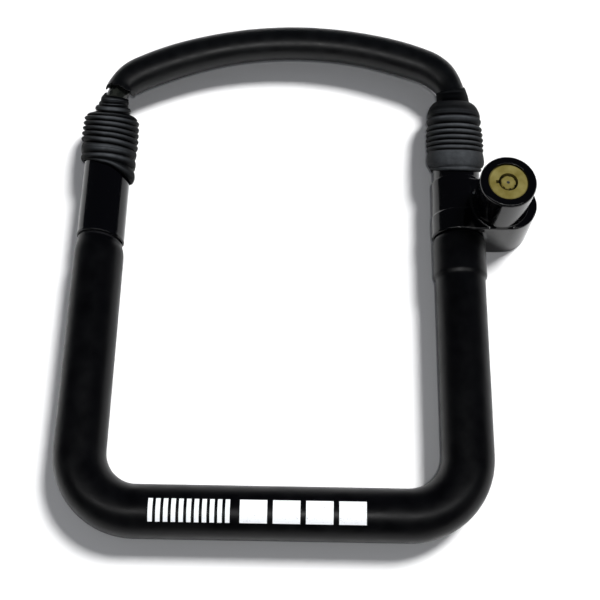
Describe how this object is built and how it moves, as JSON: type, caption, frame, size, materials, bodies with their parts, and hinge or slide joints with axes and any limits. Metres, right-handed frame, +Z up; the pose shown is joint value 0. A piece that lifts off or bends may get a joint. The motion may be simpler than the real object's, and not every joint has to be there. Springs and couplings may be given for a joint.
{
  "type": "u lock",
  "caption": "Motorcycle-size U lock lying flat: a sleeved U with a barrel lock housing, and a sliding bow sealed by rubber bellows.",
  "frame": {"origin": "under the middle of the whole lock, on the surface it lies on", "axes": "+Z up, the way the key face looks; +Y from the cross bar to the bow; +X to the side the lock housing is on"},
  "size_m": [0.2401, 0.2854, 0.0528],
  "materials": {
    "black_tube": "satin",
    "vinyl_sleeve": "satin",
    "vinyl_sheath": "satin",
    "white_print": "satin",
    "gloss_black": "gloss",
    "plain_steel": "brushed",
    "cover_steel": "satin",
    "nylon": "matte",
    "rubber_black": "matte",
    "brass_face": "brushed",
    "brass_pins": "satin",
    "dark_rod": "gloss",
    "bellows_rubber": "matte"
  },
  "bodies": {
    "frame": {"lower_u_tube": "black_tube", "vinyl_sleeve": "vinyl_sleeve", "print_mark": "white_print", "left_collar": "gloss_black", "lock_housing": "gloss_black", "housing_pin": "plain_steel", "bottom_cover": "cover_steel", "cover_screws": "plain_steel", "bolt_guide": "cover_steel", "right_upper_bush": "nylon", "right_lower_bush": "nylon", "left_upper_bush": "nylon", "left_lower_bush": "nylon", "right_stop_plug": "rubber_black", "left_stop_plug": "rubber_black", "right_mouth_seal": "rubber_black", "left_mouth_seal": "rubber_black", "cylinder_shell": "brass_face", "rear_pin_housing": "brass_face", "driver_pins": "brass_pins", "pin_springs": "plain_steel", "cylinder_cross_pin": "plain_steel", "cylinder_grub_screw": "plain_steel"},
    "bow": {"bow_rod": "dark_rod", "bow_sheath": "vinyl_sheath", "left_bellows": "bellows_rubber", "right_bellows": "bellows_rubber"},
    "spindle": {"cylinder_spindle": "brass_face", "key_pins": "brass_pins", "anti_drill_pin": "plain_steel", "bolt_cam": "plain_steel", "cam_screw": "plain_steel"},
    "bolt": {"lock_bolt": "plain_steel"}
  },
  "joints": [
    {"name": "bow_slide", "type": "slide", "parent": "frame", "child": "bow", "axis": [0, 1, 0], "range_m": [0, 0.096]},
    {"name": "key_turn", "type": "hinge", "parent": "frame", "child": "spindle", "pos_m": [0.1012, 0.02803, 0.0155], "axis": [0, 0, 1], "range_deg": [0, 90]},
    {"name": "bolt_throw", "type": "slide", "parent": "frame", "child": "bolt", "axis": [1, 0, 0], "range_m": [-0.00425, 0]}
  ],
  "couplings": [
    {"joint": "bolt_throw", "follows": "key_turn", "m_per_rad": -0.0027}
  ]
}
